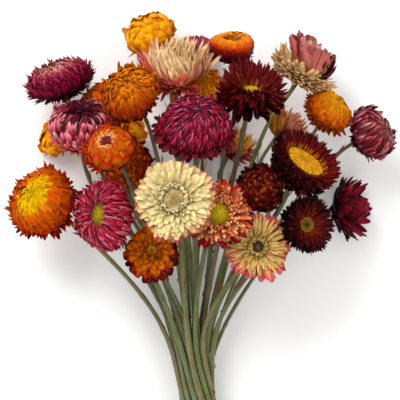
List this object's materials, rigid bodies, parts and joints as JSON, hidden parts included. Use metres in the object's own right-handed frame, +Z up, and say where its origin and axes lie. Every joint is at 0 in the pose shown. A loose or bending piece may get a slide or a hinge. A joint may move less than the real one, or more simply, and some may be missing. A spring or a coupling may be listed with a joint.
{
  "type": "dried strawflower bunch",
  "caption": "Loose bunch of dried everlasting daisies in cream, gold, orange, crimson and pink, lying on its side with bare stems crossing at the waist.",
  "frame": {"origin": "middle of the bunch's outer box, on the surface it lies on", "axes": "+Y toward the flower heads and -Y toward the cut stem ends, +X to the right seen from above with the heads away, +Z up"},
  "size_m": [0.253, 0.35, 0.1147],
  "materials": {
    "cream_bracts": "dry papery bracts, soft satin, ivory with peach and pink tips",
    "yellow_bracts": "dry papery bracts, soft satin, golden yellow",
    "orange_bracts": "dry papery bracts, soft satin, orange with red-brown tips",
    "red_bracts": "dry papery bracts, satin, dark red to maroon",
    "magenta_bracts": "dry papery bracts, satin, crimson to magenta",
    "pink_bracts": "dry papery bracts, soft satin, dusty pink to salmon",
    "dried_stem": "matt dried grey-green stem with fine lengthwise ridges"
  },
  "bodies": {
    "root": {"crimson_fringed_head": "magenta_bracts", "golden_cup_head": "yellow_bracts", "rose_small_head": "magenta_bracts", "cream_pink_side_head": "cream_bracts", "orange_dome_head": "orange_bracts", "amber_small_head": "orange_bracts", "mauve_cup_head": "pink_bracts", "yellow_small_head": "yellow_bracts", "gold_small_head": "yellow_bracts", "orange_red_cup_head": "orange_bracts", "russet_head": "orange_bracts", "large_orange_head": "orange_bracts", "crimson_open_head": "magenta_bracts", "large_cream_head": "cream_bracts", "burnt_orange_head": "orange_bracts", "magenta_dome_head": "magenta_bracts", "bright_orange_small_head": "orange_bracts", "orange_red_bowl_head": "orange_bracts", "burgundy_head": "red_bracts", "pink_cup_head": "pink_bracts", "yellow_orange_bud_head": "orange_bracts", "plum_dome_head": "magenta_bracts", "salmon_fan_head": "pink_bracts", "peach_back_head": "pink_bracts", "dark_red_gold_eye_head": "red_bracts", "rust_ball_head": "red_bracts", "maroon_head": "red_bracts", "wine_star_head": "magenta_bracts", "salmon_open_head": "pink_bracts", "straw_pink_head": "cream_bracts", "crimson_fringed_stem": "dried_stem", "golden_cup_stem": "dried_stem", "rose_small_stem": "dried_stem", "cream_pink_side_stem": "dried_stem", "orange_dome_stem": "dried_stem", "amber_small_stem": "dried_stem", "mauve_cup_stem": "dried_stem", "yellow_small_stem": "dried_stem", "gold_small_stem": "dried_stem", "orange_red_cup_stem": "dried_stem", "russet_stem": "dried_stem", "large_orange_stem": "dried_stem", "crimson_open_stem": "dried_stem", "large_cream_stem": "dried_stem", "burnt_orange_stem": "dried_stem", "magenta_dome_stem": "dried_stem", "bright_orange_small_stem": "dried_stem", "orange_red_bowl_stem": "dried_stem", "burgundy_stem": "dried_stem", "pink_cup_stem": "dried_stem", "yellow_orange_bud_stem": "dried_stem", "plum_dome_stem": "dried_stem", "salmon_fan_stem": "dried_stem", "peach_back_stem": "dried_stem", "dark_red_gold_eye_stem": "dried_stem", "rust_ball_stem": "dried_stem", "maroon_stem": "dried_stem", "wine_star_stem": "dried_stem", "salmon_open_stem": "dried_stem", "straw_pink_stem": "dried_stem"}
  },
  "joints": []
}
